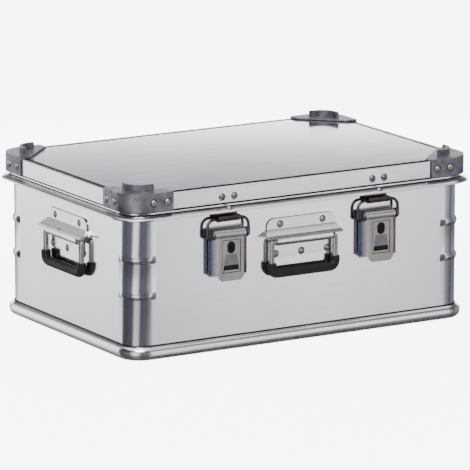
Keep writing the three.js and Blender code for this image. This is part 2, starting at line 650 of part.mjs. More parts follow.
// The hook that the lock's cam turns down behind.
function lockKeeper() {
  const seat = CLEARANCE + LATCH_SHEET + CLEARANCE;
  const top = lockZ - PLUG_RADIUS - KEEPER_BELOW_PLUG;
  const foot = top - KEEPER_HEIGHT;
  const hookIn = KEEPER_OUT - KEEPER_SHEET;
  return sectionAlongWall([
    [seat, foot], [KEEPER_OUT, foot], [KEEPER_OUT, top], [hookIn, top],
    [hookIn, foot + KEEPER_SHEET], [seat, foot + KEEPER_SHEET],
  ], -KEEPER_WIDTH / 2, KEEPER_WIDTH / 2);
}

function latchAxle() {
  const half = LATCH_WIDTH / 2 - 0.2;
  return barAlongWall(LATCH_AXLE_RADIUS, -half, half, LATCH_AXLE_OUT, latchAxleZ);
}

function latchLever() {
  const half = LATCH_WIDTH / 2;
  const faceHalf = LATCH_FACE_WIDTH / 2;
  const shoulder = LATCH_DEPTH - LATCH_BEVEL;
  const foot = latchAxleZ - LEVER_BODY_LENGTH;
  const faceTop = latchAxleZ - LEVER_FACE_DROP;
  const tip = latchAxleZ - LEVER_LENGTH;
  const bevelShare = 0.4; // a sheet's thickness measured along the bevel
  const wallOf = (depth) => [
    [half - depth, -LEVER_BACK_OUT], [half - depth, -shoulder + depth * bevelShare],
    [faceHalf - depth * bevelShare, -LATCH_DEPTH + depth],
    [-faceHalf + depth * bevelShare, -LATCH_DEPTH + depth],
    [-half + depth, -shoulder + depth * bevelShare], [-half + depth, -LEVER_BACK_OUT],
  ];
  const channel = extrude(shapeOf([...wallOf(0), ...wallOf(LATCH_SHEET).reverse()]), faceTop - foot);
  channel.translate(0, 0, foot);
  const chamfer = LEVER_LIP_CHAMFER;
  const lip = plateOnWall(shapeOf([
    [-faceHalf, foot + 1], [-faceHalf, tip + chamfer], [-faceHalf + chamfer, tip],
    [faceHalf - chamfer, tip], [faceHalf, tip + chamfer], [faceHalf, foot + 1],
  ]), LATCH_DEPTH - LATCH_SHEET, LATCH_DEPTH);
  const caps = [-1, 1].map((side) => {
    const ends = [side * (half - LATCH_SHEET), side * (half + LEVER_CAP)];
    const [from, to] = side > 0 ? ends : ends.reverse();
    return barAlongWall(LATCH_ROLL_RADIUS, from, to, LATCH_AXLE_OUT, latchAxleZ, 20);
  });
  const through = LATCH_DEPTH - 2 * LATCH_SHEET;
  const proud = LATCH_DEPTH + 1;
  const lockHole = roundedRectangle(LOCK_WIDTH / 2, LOCK_HEIGHT / 2, LOCK_WIDTH / 2 - 0.1, lockZ);
  const keyhole = plateOnWall(lockHole, through, proud);
  const slotFoot = foot + SLOT_RISE;
  const slotTop = slotFoot + SLOT_HEIGHT;
  const slot = box(-TONGUE_HALF_FOOT, TONGUE_HALF_FOOT, through, proud, slotFoot, slotTop);
  const panel = box(-PANEL_HALF, PANEL_HALF, LATCH_DEPTH - PANEL_RECESS, proud, foot + PANEL_BORDER,
    faceTop - PANEL_BORDER);
  const tongueTop = slotTop - 0.5 + TONGUE_HEIGHT;
  const tongue = plateOnWall(shapeOf([
    [-TONGUE_HALF_FOOT, slotTop - 0.5], [TONGUE_HALF_FOOT, slotTop - 0.5],
    [TONGUE_HALF_TOP, tongueTop], [-TONGUE_HALF_TOP, tongueTop],
  ]), LATCH_DEPTH - TONGUE_RECESS, proud);
  // Room for the base's barrel as the lever swings
  const roomHalf = cheekHalf + CLEARANCE;
  const roomRadius = LATCH_ROLL_RADIUS + CLEARANCE;
  const barrelRoom = barAlongWall(roomRadius, -roomHalf, roomHalf, LATCH_AXLE_OUT, latchAxleZ, 20);
  return cut(join(channel, lip, ...caps), barrelRoom, keyhole, slot, panel, tongue,
    barAlongWall(LATCH_AXLE_RADIUS + CLEARANCE, -LATCH_WIDTH, LATCH_WIDTH, LATCH_AXLE_OUT, latchAxleZ),
    barAlongWall(BAIL_RADIUS + CLEARANCE, -LATCH_WIDTH, -cheekHalf, bailPivotOut, bailPivotZ),
    barAlongWall(BAIL_RADIUS + CLEARANCE, cheekHalf, LATCH_WIDTH, bailPivotOut, bailPivotZ),
    barAlongWall(LATCH_AXLE_RADIUS + CLEARANCE, -LATCH_WIDTH, LATCH_WIDTH, CROSS_PIN_OUT, crossPinZ));
}

function latchBail() {
  const half = LATCH_WIDTH / 2 + LEVER_CAP + BAIL_SIDE_GAP + BAIL_RADIUS;
  const end = LATCH_WIDTH / 2 - LATCH_SHEET - 0.6;
  const corners = [[-end, 0], [-half, 0], [-half, 1], [half, 1], [half, 0], [end, 0]];
  const points = corners.map(([x, high]) => new THREE.Vector3(
    x, high ? -BAIL_BAR_OUT : -bailPivotOut, high ? bailBarZ : bailPivotZ));
  return bentBar(points, [3.5, BAIL_CORNER, BAIL_CORNER, 3.5], BAIL_RADIUS, 10);
}

function lockBezel() {
  const halfWidth = LOCK_WIDTH / 2 - CLEARANCE;
  const outline = roundedRectangle(halfWidth, LOCK_HEIGHT / 2 - CLEARANCE, halfWidth - 0.1, lockZ);
  const front = LATCH_DEPTH - BEZEL_SUNK;
  const back = front - BEZEL_DEPTH;
  const plugHole = barOutwards(PLUG_RADIUS + CLEARANCE, back - 1, front + 1, 0, lockZ);
  return cut(plateOnWall(outline, back, front), plugHole);
}

function lockPlug() {
  const front = LATCH_DEPTH - PLUG_SUNK;
  const plug = barOutwards(PLUG_RADIUS, front - PLUG_LENGTH, front, 0, lockZ);
  const camFront = CAM_OUT + CAM_THICKNESS;
  const cam = box(-CAM_REACH, CAM_HALF, CAM_OUT, camFront, lockZ - CAM_HALF, lockZ + CAM_HALF);
  const stem = barOutwards(STEM_RADIUS, CAM_OUT, front - PLUG_LENGTH + 0.5, 0, lockZ, 10);
  const keySlot = box(-KEY_SLOT_WIDTH / 2, KEY_SLOT_WIDTH / 2, front - 2, front + 1,
    lockZ - KEY_SLOT_HALF, lockZ + KEY_SLOT_HALF);
  return cut(join(plug, cam, stem), keySlot);
}

function leverPin() {
  const half = LATCH_WIDTH / 2 + PIN_PROUD;
  return barAlongWall(LATCH_AXLE_RADIUS, -half, half, CROSS_PIN_OUT, crossPinZ, 12);
}

// ---- Handles, in a frame on a wall ----
const bracketTop = SKIRT_BOTTOM - HANDLE_TOP_DROP;
const handleAxisZ = bracketTop - HANDLE_AXIS_DROP;

function handleBracket() {
  const sheetOut = CLEARANCE + BRACKET_SHEET;
  const foot = bracketTop - BRACKET_HEIGHT;
  const ridge = BRACKET_RIDGE_WIDTH / 2;
  // The arms clear the lip when the handle is level
  const lipFoot = handleAxisZ + HANDLE_WIRE_RADIUS + CLEARANCE;
  const cowl = sectionAlongWall([
    [CLEARANCE, bracketTop], [CLEARANCE, bracketTop - 26], [sheetOut, bracketTop - 26],
    [sheetOut, bracketTop - 18.5], [8.4, bracketTop - 25.4], [13.6, lipFoot],
    [15.2, lipFoot], [15.6, bracketTop - 26.2], [14.8, bracketTop - 25],
    [9.6, bracketTop - 23.6], [sheetOut, bracketTop - 15.5], [sheetOut, bracketTop],
  ], -ridge, ridge);
  const half = BRACKET_KNUCKLE_WIDTH / 2;
  const knuckle = barAlongWall(KNUCKLE_RADIUS, -half, half, HANDLE_AXIS_OUT, handleAxisZ, 20);
  const bridge = box(-half, half, 8.4, 14.2, handleAxisZ + 1.8, lipFoot + 1.3);
  const flange = box(-half, half, CLEARANCE, sheetOut, foot, bracketTop - 20);
  const sideCuts = [-1, 1].map((side) => {
    const edge = BRACKET_FLANGE_WIDTH / 2;
    const r = BRACKET_FLANGE_RADIUS;
    const corner = new THREE.Shape();
    corner.moveTo(side * (edge - r), bracketTop);
    corner.absarc(side * (edge - r), bracketTop - r, r, Math.PI / 2, side > 0 ? 0 : Math.PI, side > 0);
    corner.lineTo(side * edge, bracketTop - 17);
    corner.lineTo(side * (ridge + 1), bracketTop - 24);
    corner.lineTo(side * (ridge + 1), bracketTop + 1);
    corner.lineTo(side * (edge - r), bracketTop + 1);
    return plateOnWall(corner, -1, 20);
  });
  const boreRadius = HANDLE_WIRE_RADIUS + CLEARANCE;
  const bore = barAlongWall(boreRadius, -half - 1, half + 1, HANDLE_AXIS_OUT, handleAxisZ);
  return cut(join(cowl, knuckle, bridge, flange), bore, ...sideCuts);
}

function handleBail() {
  const half = HANDLE_SPAN / 2;
  const pin = half - HANDLE_PIN_LENGTH;
  const path = [[-pin, 0], [-half, 0], [-half, -HANDLE_REACH], [half, -HANDLE_REACH], [half, 0], [pin, 0]];
  const points = path.map(([x, z]) => new THREE.Vector3(x, -HANDLE_AXIS_OUT, handleAxisZ + z));
  const bends = [HANDLE_END_BEND, HANDLE_CORNER, HANDLE_CORNER, HANDLE_END_BEND];
  return bentBar(points, bends, HANDLE_WIRE_RADIUS, 12);
}

function handleGrip() {
  const half = HANDLE_SPAN / 2;
  const pathFrom = (start) => [[-half, -start], [-half, -HANDLE_REACH], [half, -HANDLE_REACH], [half, -start]]
    .map(([x, z]) => new THREE.Vector3(x, -HANDLE_AXIS_OUT, handleAxisZ + z));
  const sleeve = bentBar(pathFrom(GRIP_START), [HANDLE_CORNER, HANDLE_CORNER], HANDLE_GRIP_RADIUS, 12);
  const boreRadius = HANDLE_WIRE_RADIUS + CLEARANCE;
  const bore = bentBar(pathFrom(GRIP_START - 5), [HANDLE_CORNER, HANDLE_CORNER], boreRadius, 12);
  return cut(sleeve, bore);
}

function handleSpring() {
  const room = HANDLE_SPAN / 2 - HANDLE_PIN_LENGTH - SPRING_GAP;
  const steps = SPRING_TURNS * SPRING_STEPS;
  const turns = [];
  for (let i = 0; i <= steps; i += 1) {
    const angle = (i / SPRING_STEPS) * Math.PI * 2;
    const out = HANDLE_AXIS_OUT - SPRING_RADIUS * Math.cos(angle);
    const along = -room + (2 * room * i) / steps;
    turns.push(new THREE.Vector3(along, -out, handleAxisZ + SPRING_RADIUS * Math.sin(angle)));
  }
  const disc = shapeOf(arcPoints(0, 0, SPRING_WIRE_RADIUS, SPRING_WIRE_RADIUS, 0, 288, 4));
  const path = new THREE.CatmullRomCurve3(turns);
  return new THREE.ExtrudeGeometry(disc, { steps, bevelEnabled: false, extrudePath: path });
}

// ---- Hinges, in a frame on the rear wall ----
const hingeZ = SKIRT_BOTTOM - HINGE_DROP;
// Where the heel's leading edge stands with the lid fully open
const heelStop = -HINGE_HEEL * Math.cos((180 - LID_OPENING) * degrees)
  - HINGE_HEEL_HALF * Math.sin(LID_OPENING * degrees);

function hingeBodyLeaf() {
  const half = HINGE_WIDTH / 2;
  const wallMid = CLEARANCE + HINGE_SHEET / 2;
  const shelfZ = hingeZ - HINGE_KNUCKLE_RADIUS - 0.6 - HINGE_SHEET / 2;
  const leaf = sectionAlongWall(sheetOutline([[wallMid, hingeZ - HINGE_LEAF_LENGTH], [wallMid, shelfZ - 7],
    [wallMid + 5, shelfZ], [HINGE_OUT + heelStop - 0.1, shelfZ]], HINGE_SHEET), -half, half);
  const inner = HINGE_MIDDLE / 2 + CLEARANCE;
  const knuckles = [-1, 1].flatMap((side) => {
    const x0 = Math.min(side * inner, side * half);
    const x1 = Math.max(side * inner, side * half);
    return [
      barAlongWall(HINGE_KNUCKLE_RADIUS, x0, x1, HINGE_OUT, hingeZ),
      box(x0, x1, HINGE_OUT - 3, HINGE_OUT + 0.5, shelfZ, hingeZ - 2.4),
    ];
  });
  const bore = barAlongWall(HINGE_PIN_RADIUS + CLEARANCE, -half - 1, half + 1, HINGE_OUT, hingeZ, 12);
  return cut(join(leaf, ...knuckles), bore);
}

function hingeLidLeaf() {
  const half = HINGE_WIDTH / 2;
  const middle = HINGE_MIDDLE / 2;
  const reach = [HINGE_OUT + 1, CASE_HEIGHT - HINGE_LEAF_DROP];
  const path = [...leafRise, [leafOut, leafTurn[1] + LEAF_OVERLAP], leafTurn, reach];
  const leaf = sectionAlongWall(sheetOutline(path, LEAF_SHEET), -half, half);
  const neck = box(-middle, middle, HINGE_OUT - 1, HINGE_OUT + 1, hingeZ, CASE_HEIGHT - 34);
  const heel = box(-middle, middle, HINGE_OUT, HINGE_OUT + HINGE_HEEL, hingeZ - HINGE_HEEL_HALF,
    hingeZ + HINGE_HEEL_HALF);
  const knuckle = barAlongWall(HINGE_KNUCKLE_RADIUS, -middle, middle, HINGE_OUT, hingeZ);
  const bore = barAlongWall(HINGE_PIN_RADIUS + CLEARANCE, -half, half, HINGE_OUT, hingeZ, 12);
  return cut(join(leaf, neck, heel, knuckle), bore);
}

function hingePin() {
  return barAlongWall(HINGE_PIN_RADIUS, -HINGE_WIDTH / 2, HINGE_WIDTH / 2, HINGE_OUT, hingeZ, 12);
}

// ---- Assembly ----
addMesh(group, 'body_shell', bodyShell(), 0xc4c5c9, 0.32, 0.9);
addMesh(group, 'bottom_panel', bottomPanel(), 0xb9babd, 0.4, 0.9);
addMesh(group, 'base_frame', baseFrame(), 0xc9c9cd, 0.3, 0.9);
addMesh(group, 'body_rim', bodyRim(), 0xbfc0c3, 0.35, 0.9);
addMesh(group, 'lid_panel', lidPanel(), 0xc2c7cd, 0.22, 0.9);
addMesh(group, 'lid_frame', lidFrame(), 0xe2e2e4, 0.3, 0.9);
addMesh(group, 'lid_gasket', lidGasket(), 0x1c1c1e, 0.9, 0);

const corners = [
  ['front_left', -1, -1, 0], ['front_right', 1, -1, 90], ['rear_right', 1, 1, 180], ['rear_left', -1, 1, 270],
];
for (const [place, signX, signY, turn] of corners) {
  const casting = addMesh(group, `casting_${place}`, cornerCasting(), 0x7e7d84, 0.5, 0.8);
  casting.rotation.z = turn * degrees;
  casting.position.set(signX * (HALF_LENGTH - WALL_RADIUS), signY * (HALF_WIDTH - WALL_RADIUS), 0);
}

for (const [place, side] of [['left', -1], ['right', 1]]) {
  const wall = wallGroup((side * LATCH_SPACING) / 2, 0, HALF_WIDTH);
  addMesh(wall, `latch_base_${place}`, latchBase(), 0x8f8e90, 0.4, 0.9);
  addMesh(wall, `lock_keeper_${place}`, lockKeeper(), 0x8f8e90, 0.4, 0.9);
  addMesh(wall, `latch_axle_${place}`, latchAxle(), 0xa0a0a4, 0.3, 1);
  addMesh(wall, `latch_lever_${place}`, latchLever(), 0xb8b6b4, 0.35, 0.9);
  addMesh(wall, `latch_bail_${place}`, latchBail(), 0x8d8b8a, 0.3, 1);
  addMesh(wall, `lock_bezel_${place}`, lockBezel(), 0x121212, 0.5, 0);
  addMesh(wall, `lock_plug_${place}`, lockPlug(), 0x2a2a2c, 0.4, 0.6);
  addMesh(wall, `lever_pin_${place}`, leverPin(), 0x6e6c70, 0.35, 0.9);
  addMesh(wall, `catch_hook_${place}`, catchHook(), 0x55504b, 0.4, 0.9);
  catchRivets.forEach((seat, i) => {
    addMesh(wall, `catch_rivet_${place}_${i + 1}`, rivet(...seat), 0xc0c0c4, 0.3, 0.9);
  });
}

const handleWalls = [['front', 0, HALF_WIDTH], ['left', -90, HALF_LENGTH], ['right', 90, HALF_LENGTH]];
for (const [place, turn, distance] of handleWalls) {
  const wall = wallGroup(0, turn, distance);
  addMesh(wall, `handle_bracket_${place}`, handleBracket(), 0xd2d3d6, 0.3, 0.9);
  addMesh(wall, `handle_bail_${place}`, handleBail(), 0x9a9aa2, 0.3, 1);
  addMesh(wall, `handle_grip_${place}`, handleGrip(), 0x141414, 0.6, 0);
  addMesh(wall, `handle_spring_${place}`, handleSpring(), 0x77777a, 0.4, 1);
}

for (const [place, side] of [['left', 1], ['right', -1]]) {
  const wall = wallGroup((side * HINGE_SPACING) / 2, 180, HALF_WIDTH);
  addMesh(wall, `hinge_body_leaf_${place}`, hingeBodyLeaf(), 0xa9a9ad, 0.35, 0.9);
  addMesh(wall, `hinge_lid_leaf_${place}`, hingeLidLeaf(), 0xa9a9ad, 0.35, 0.9);
  addMesh(wall, `hinge_pin_${place}`, hingePin(), 0x8c8c90, 0.3, 1);
}

export default group;
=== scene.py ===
import math

import bpy
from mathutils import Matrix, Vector
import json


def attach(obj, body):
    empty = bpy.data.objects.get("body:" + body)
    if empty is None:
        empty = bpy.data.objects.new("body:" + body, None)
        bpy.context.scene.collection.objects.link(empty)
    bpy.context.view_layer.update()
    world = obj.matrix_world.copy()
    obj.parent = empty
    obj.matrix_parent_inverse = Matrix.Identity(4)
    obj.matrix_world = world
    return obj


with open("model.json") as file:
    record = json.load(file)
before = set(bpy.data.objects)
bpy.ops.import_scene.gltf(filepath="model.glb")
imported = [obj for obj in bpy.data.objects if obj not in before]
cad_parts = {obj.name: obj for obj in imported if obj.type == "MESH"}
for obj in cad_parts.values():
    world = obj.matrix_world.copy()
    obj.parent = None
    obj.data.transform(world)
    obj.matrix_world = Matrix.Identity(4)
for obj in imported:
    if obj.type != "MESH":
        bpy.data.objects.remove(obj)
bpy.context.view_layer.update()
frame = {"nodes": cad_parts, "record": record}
nodes = frame["nodes"]

# Sizes are in mm until they reach a mesh, and "out" is the distance out from a wall's outer face.
MM = 0.001
HALF_LENGTH = 277  # outside of the end walls
HALF_WIDTH = 185  # outside of the long walls
WALL_RADIUS = 27
RIM_HALF_LENGTH = 295  # outside of the lid's skirt
RIM_HALF_WIDTH = 203
FACE_OUT = 9  # outer face of the lid frame
LATCH_CENTRE = 125.5  # either latch's centre line, along the front wall
HINGE_CENTRE = 160
CAD_BEVEL = 0.25
WELD_GAP = 0.01
SEED = 11

# For each wall: the way along it, the way it faces, and how far out it stands
WALLS = {
    "front": ((1, 0), (0, -1), HALF_WIDTH),
    "rear": ((-1, 0), (0, 1), HALF_WIDTH),
    "left": ((0, -1), (-1, 0), HALF_LENGTH),
    "right": ((0, 1), (1, 0), HALF_LENGTH),
}


# ---- Node helpers ----
def add(tree, kind, values=None, **settings):
    """A node with its settings; a value that is a socket is linked, any other is set."""
    made = tree.nodes.new(kind)
    for key, value in settings.items():
        setattr(made, key, value)
    for key, value in (values or {}).items():
        if isinstance(value, bpy.types.NodeSocket):
            tree.links.new(value, made.inputs[key])
        else:
            made.inputs[key].default_value = value
    return made


def maths(tree, operation, *values):
    return add(tree, "ShaderNodeMath", dict(enumerate(values)), operation=operation).outputs[0]


def ranged(tree, value, low, high, first=0.0, last=1.0):
    """The value carried from low..high to first..last, and held level beyond."""
    values = {0: value, 1: low, 2: high, 3: first, 4: last}
    return add(tree, "ShaderNodeMapRange", values).outputs[0]


def blend(tree, share, first, second):
    """A colour between two others."""
    values = {0: share, 6: first, 7: second}
    return add(tree, "ShaderNodeMix", values, data_type="RGBA").outputs[2]


def object_place(tree):
    return add(tree, "ShaderNodeTexCoord").outputs["Object"]


# ---- Materials ----
METAL = 1
NOT_METAL = 0
MARKS_RANGE = (0.3, 0.7)  # the part of a noise texture's output that carries its contrast
PATCH_SHARE = 0.55  # how much of the tone comes from slow patches rather than from fine marks
MARKS_DETAIL = 5.0
PATCH_DETAIL = 2.0


def linear(code):
    """A hex sRGB colour as linear RGBA."""
    parts = [int(code[i : i + 2], 16) / 255 for i in (0, 2, 4)]
    return [c / 12.92 if c <= 0.04045 else ((c + 0.055) / 1.055) ** 2.4 for c in parts] + [1.0]


def noise(tree, place, scale, detail):
    values = {"Vector": place, "Scale": scale, "Detail": detail}
    return add(tree, "ShaderNodeTexNoise", values).outputs["Fac"]


def surface(name, dark, light, metallic, rough, grain, relief, patch=90):
    """A procedural finish between two colours. rough is (least, most); grain is the real size in
    mm of the marks along X, Y and Z; relief is their depth in mm; patch is the size in mm of the
    slow changes of tone."""
    material = bpy.data.materials.new(name)
    material.use_nodes = True
    tree = material.node_tree
    shader = tree.nodes["Principled BSDF"]
    place = object_place(tree)
    scale = [1 / (size * MM) for size in grain]
    stretched = add(tree, "ShaderNodeMapping", {"Vector": place, "Scale": scale})
    marks = noise(tree, stretched.outputs["Vector"], 1.0, MARKS_DETAIL)
    slow = noise(tree, place, 1 / (patch * MM), PATCH_DETAIL)
    both = add(tree, "ShaderNodeMix", {0: PATCH_SHARE, 2: marks, 3: slow}).outputs[0]
    tone = ranged(tree, both, *MARKS_RANGE)
    colour = blend(tree, tone, linear(dark), linear(light))
    worn = ranged(tree, marks, *MARKS_RANGE, *rough)
    depth = {"Height": marks, "Distance": relief * MM, "Strength": 1.0}
    bump = add(tree, "ShaderNodeBump", depth).outputs["Normal"]
    tree.links.new(colour, shader.inputs["Base Color"])
    tree.links.new(worn, shader.inputs["Roughness"])
    tree.links.new(bump, shader.inputs["Normal"])
    shader.inputs["Metallic"].default_value = metallic
    return material


# Each row: material name, dark and light colour, metal or not, roughness, grain, relief, patch
FINISHES = {
    # rolled sheet with the mill's fine marks along its length
    "rolled_aluminium": (
        "rolled_aluminium_satin", "CCCCD1", "DCDCE0", METAL,
        (0.11, 0.17), (90, 90, 0.9), 0.0004, 160,
    ),
    # the lid's sheet is brighter and smoother
    "lid_aluminium": (
        "rolled_aluminium_bright", "A3A9B2", "B4BAC3", METAL,
        (0.13, 0.17), (70, 3, 3), 0.0006, 200,
    ),
    # extrusions carry die lines along the bar
    "extruded_aluminium": (
        "extruded_aluminium_satin", "D6D6DA", "E8E8EC", METAL,
        (0.15, 0.22), (60, 60, 0.7), 0.0006,
    ),
    # pressure castings keep a grainy skin
    "cast_aluminium": (
        "cast_aluminium_grainy", "57565D", "A3A2A9", METAL,
        (0.36, 0.55), (1.6, 1.6, 1.6), 0.12, 14,
    ),
    # nickel plated steel pressing
    "plated_steel": (
        "plated_steel_nickel", "ABA8A6", "C6C3C0", METAL,
        (0.24, 0.36), (1.1, 1.1, 1.1), 0.01, 25,
    ),
    # the same plating on the parts behind the lever, a little rougher, and darker as painted shade
    # from the lever
    "inner_steel": (
        "plated_steel_shaded_behind_lever", "77757A", "96949A", METAL,
        (0.3, 0.42), (2, 2, 2), 0.01, 25,
    ),
    # set rivets: plated, burnished by the setting tool
    "rivet_steel": (
        "rivet_steel_plated", "7E7D83", "9A999F", METAL,
        (0.2, 0.32), (1.5, 1.5, 1.5), 0.01, 12,
    ),
    # dark plated steel, drawn or pressed
    "dark_steel": (
        "plated_steel_dark", "47423D", "625C55", METAL,
        (0.26, 0.4), (4, 1, 4), 0.01, 20,
    ),
    # moulded rubber sleeve
    "black_rubber": (
        "rubber_moulded_black", "080808", "101010", NOT_METAL,
        (0.42, 0.6), (0.8, 0.8, 0.8), 0.02, 20,
    ),
    # moulded plastic bezel
    "black_plastic": (
        "plastic_moulded_black", "060606", "0B0B0B", NOT_METAL,
        (0.35, 0.5), (0.5, 0.5, 0.5), 0.01, 10,
    ),
    # drawn spring wire
    "spring_steel": (
        "spring_steel_drawn", "6C6C70", "8C8C90", METAL,
        (0.25, 0.35), (1, 8, 1), 0.005, 12,
    ),
    # the lever's face is buffed; its bevels and sides are given painted shade below
    "buffed_steel_shaded_sides": (
        "plated_steel_buffed_shaded_sides", "97938F", "B4B0AC", METAL,
        (0.24, 0.36), (1.1, 1.1, 1.1), 0.01, 25,
    ),
}
finishes = {name: surface(*row) for name, row in FINISHES.items()}

# The black finishes shine less, which keeps their depth of tone
SHINE = {"black_rubber": 0.25, "black_plastic": 0.15}
for name, level in SHINE.items():
    shader = finishes[name].node_tree.nodes["Principled BSDF"]
    shader.inputs["Specular IOR Level"].default_value = level

# Painted shade: the lever's bevels and sides are darkened to a bluish grey past the face
UNSHADED_HALF = 22
SIDE_SHADE_FADE = 6
SIDE_SHADE_TONE = "66687A"


def paint_side_shade(material, centre, half, fade, tone):
    """Paints shade on a finish past half from either of two centre lines along X, over a fade in
    mm.
    """
    tree = material.node_tree
    base = tree.nodes["Principled BSDF"].inputs["Base Color"]
    across = add(tree, "ShaderNodeSeparateXYZ", {0: object_place(tree)}).outputs[0]
    side = maths(tree, "ABSOLUTE", across)
    offset = maths(tree, "SUBTRACT", side, centre * MM)
    away = maths(tree, "ABSOLUTE", offset)
    share = ranged(tree, away, half * MM, (half + fade) * MM)
    tree.links.new(blend(tree, share, base.links[0].from_socket, linear(tone)), base)


paint_side_shade(finishes["buffed_steel_shaded_sides"], LATCH_CENTRE, UNSHADED_HALF, SIDE_SHADE_FADE, SIDE_SHADE_TONE)


# ---- Shading of the CAD nodes: welded, thin bevels, soft across the facets of a curve ----
def group(name, inputs):
    """A geometry group that takes and gives geometry, with more inputs of (label, kind)."""
    tree = bpy.data.node_groups.new(name, "GeometryNodeTree")
    interface = tree.interface
    interface.new_socket("Geometry", in_out="INPUT", socket_type="NodeSocketGeometry")
    made = {}
    for label, kind in inputs:
        socket = interface.new_socket(label, in_out="INPUT", socket_type="NodeSocket" + kind)
        made[label] = socket.identifier
    interface.new_socket("Geometry", in_out="OUTPUT", socket_type="NodeSocketGeometry")
    return tree, made


def shading_tree():
    tree, sockets = group("soft_facets", (("Crease", "Float"),))
    entry = add(tree, "NodeGroupInput")
    bare = add(tree, "GeometryNodeRemoveAttribute",
               {"Geometry": entry.outputs[0], "Name": "custom_normal"})
    soft = add(tree, "GeometryNodeSetShadeSmooth",
               {"Geometry": bare.outputs[0], "Shade Smooth": True})
    edge = add(tree, "GeometryNodeInputMeshEdgeAngle")
    sharp = add(tree, "FunctionNodeCompare",
                {0: edge.outputs[0], 1: entry.outputs[1]}, operation="GREATER_THAN")
    crease = add(tree, "GeometryNodeSetShadeSmooth",
                 {"Geometry": soft.outputs[0], "Selection": sharp.outputs[0],
                  "Shade Smooth": False}, domain="EDGE")
    add(tree, "NodeGroupOutput", {0: crease.outputs[0]})
    return tree, sockets["Crease"]


soft_facets, CREASE = shading_tree()
CREASE_ANGLE = math.radians(32)


def soften(obj, bevel):
    """Welds a mesh, breaks its sharp edges by bevel mm and smooths the facets between them."""
    weld = obj.modifiers.new("weld", "WELD")
    weld.merge_threshold = WELD_GAP * MM
    if bevel:
        edges = obj.modifiers.new("edges", "BEVEL")
        edges.width = bevel * MM
        edges.segments = 2
        edges.limit_method = "ANGLE"
        edges.angle_limit = CREASE_ANGLE
    shade = obj.modifiers.new("shade", "NODES")
    shade.node_group = soft_facets
    shade[CREASE] = CREASE_ANGLE
    weights = obj.modifiers.new("weights", "WEIGHTED_NORMAL")
    weights.keep_sharp = True


# Nodes whose finish isn't the one of their material slot, by the start of their names
OWN_FINISH = {
    "lid_panel": "lid_aluminium",
    "latch_bail": "dark_steel",
    "lever_pin": "dark_steel",
    "latch_axle": "inner_steel",
    "lock_keeper": "inner_steel",
    "latch_lever": "buffed_steel_shaded_sides",
    "catch_rivet": "rivet_steel",
    "lock_plug": "black_plastic",
}
slot_of = {entry["node"]: entry["material_slot"] for entry in frame["record"]["subparts"]}
for name, obj in nodes.items():
    finish = slot_of[name]
    for start, own in OWN_FINISH.items():
        if name.startswith(start):
            finish = own
    obj.data.materials.clear()
    obj.data.materials.append(finishes[finish])
    soften(obj, 0 if "spring" in name or "grip" in name else CAD_BEVEL)


# ---- Making a piece ----
def keep(name, mesh, body, finish=None):
    obj = bpy.data.objects.new(name, mesh)
    bpy.context.scene.collection.objects.link(obj)
    if finish:
        mesh.materials.append(finishes[finish])
    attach(obj, body)
    return obj


def solid(name, points, faces, body, finish):
    """A piece from its corners in mm."""
    mesh = bpy.data.meshes.new(name)
    mesh.from_pydata([[c * MM for c in point] for point in points], [], faces)
    return keep(name, mesh, body, finish)


def prism_faces(count):
    """The faces between two outlines of count corners each, the first under the second."""
    ends = [tuple(range(count))[::-1], tuple(range(count, 2 * count))]
    return ends + [(i, (i + 1) % count, count + (i + 1) % count, count + i) for i in range(count)]


# ---- Repeats: rivet heads, and dark discs under them as painted shadow rings, one piece for each body ----
HEAD_SEGMENTS = 24
HEAD_RINGS = 12
HEAD_LEAST = 0.97
HEAD_MOST = 1.03


def rivet_tree():
    tree, sockets = group("rivet_heads", (("Radius", "Float"), ("Height", "Float"),
                                          ("Seed", "Int"), ("Finish", "Material")))
    entry = add(tree, "NodeGroupInput")
    facing = add(tree, "GeometryNodeInputNamedAttribute", {"Name": "facing"},
                 data_type="FLOAT_VECTOR")
    aim = add(tree, "FunctionNodeAlignRotationToVector", {"Vector": facing.outputs[0]}, axis="Z")
    dome = add(tree, "GeometryNodeMeshUVSphere",
               {"Segments": HEAD_SEGMENTS, "Rings": HEAD_RINGS, "Radius": 1.0})
    size = add(tree, "ShaderNodeCombineXYZ",
               {0: entry.outputs[1], 1: entry.outputs[1], 2: entry.outputs[2]})
    vary = add(tree, "FunctionNodeRandomValue",
               {2: HEAD_LEAST, 3: HEAD_MOST, 8: entry.outputs[3]})
    grown = add(tree, "ShaderNodeVectorMath",
                {0: size.outputs[0], "Scale": vary.outputs[1]}, operation="SCALE")
    heads = add(tree, "GeometryNodeInstanceOnPoints",
                {"Points": entry.outputs[0], "Instance": dome.outputs[0],
                 "Rotation": aim.outputs[0], "Scale": grown.outputs[0]})
    real = add(tree, "GeometryNodeRealizeInstances", {0: heads.outputs[0]})
    soft = add(tree, "GeometryNodeSetShadeSmooth", {"Geometry": real.outputs[0]})
    done = add(tree, "GeometryNodeSetMaterial",
               {"Geometry": soft.outputs[0], "Material": entry.outputs[4]})
    add(tree, "NodeGroupOutput", {0: done.outputs[0]})
    return tree, sockets


rivet_heads, RIVET = rivet_tree()


def rivets(name, body, seats, head, finish):
    """Rivet heads, or the dark discs of painted shadow under them, of (radius, height) on seats of
    (place, facing), as one mesh that rides.
    """
    points = bpy.data.meshes.new(name + "_seats")
    points.from_pydata([place for place, _ in seats], [], [])
    facing = points.attributes.new("facing", "FLOAT_VECTOR", "POINT")
    for item, (_, direction) in zip(facing.data, seats):
        item.vector = direction
    holder = bpy.data.objects.new(name + "_seats", points)
    bpy.context.scene.collection.objects.link(holder)
    maker = holder.modifiers.new("heads", "NODES")
    maker.node_group = rivet_heads
    radius, height = head
    maker[RIVET["Radius"]] = radius * MM
    maker[RIVET["Height"]] = height * MM
    maker[RIVET["Seed"]] = SEED
    maker[RIVET["Finish"]] = finishes[finish]
    graph = bpy.context.evaluated_depsgraph_get()
    mesh = bpy.data.meshes.new_from_object(holder.evaluated_get(graph))
    bpy.data.objects.remove(holder)
    keep(name, mesh, body)


